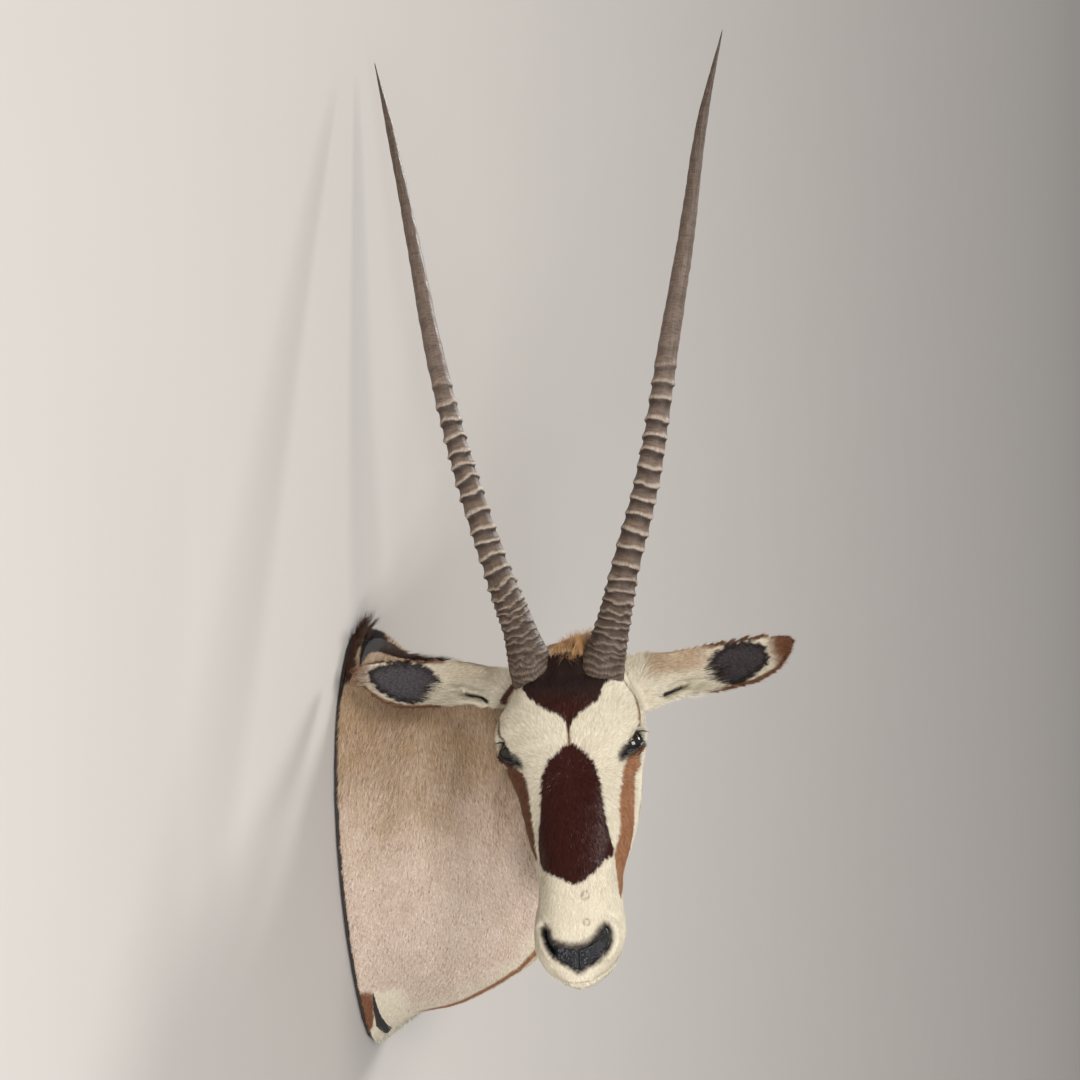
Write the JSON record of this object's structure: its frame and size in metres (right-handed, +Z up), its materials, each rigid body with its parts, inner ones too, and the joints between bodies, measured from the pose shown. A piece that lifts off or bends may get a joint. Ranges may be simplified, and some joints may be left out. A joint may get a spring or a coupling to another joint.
{
  "type": "gemsbok shoulder mount",
  "caption": "Wall-hung taxidermy mount of a gemsbok's neck and head, turned to its right, with long ringed horns, on an oval backboard with a keyhole hanger.",
  "frame": {"origin": "middle of the backboard's rear face, on the wall", "axes": "+Z up along the wall, +Y into the wall, +X to the left of the animal's neck, and the neck leaves the wall along -Y"},
  "size_m": [0.4401, 0.5506, 1.2578],
  "materials": {
    "board": "plywood with its edge stained black",
    "steel": "zinc-plated steel",
    "hide": "short glossy hair, tan on the neck, cream, rust and dark brown on the face",
    "horn": "keratin, ringed and dry below, smooth and lightly polished above",
    "eye_glass": "dark brown glass, polished"
  },
  "bodies": {
    "root": {"backboard": "board", "hanger_plate": "steel", "hanger_screw_1": "steel", "hanger_screw_2": "steel", "form_screw_1": "steel", "form_screw_2": "steel", "form_screw_3": "steel", "form_screw_4": "steel", "cape": "hide", "right_horn": "horn", "left_horn": "horn", "right_eye": "eye_glass", "left_eye": "eye_glass"}
  },
  "joints": []
}
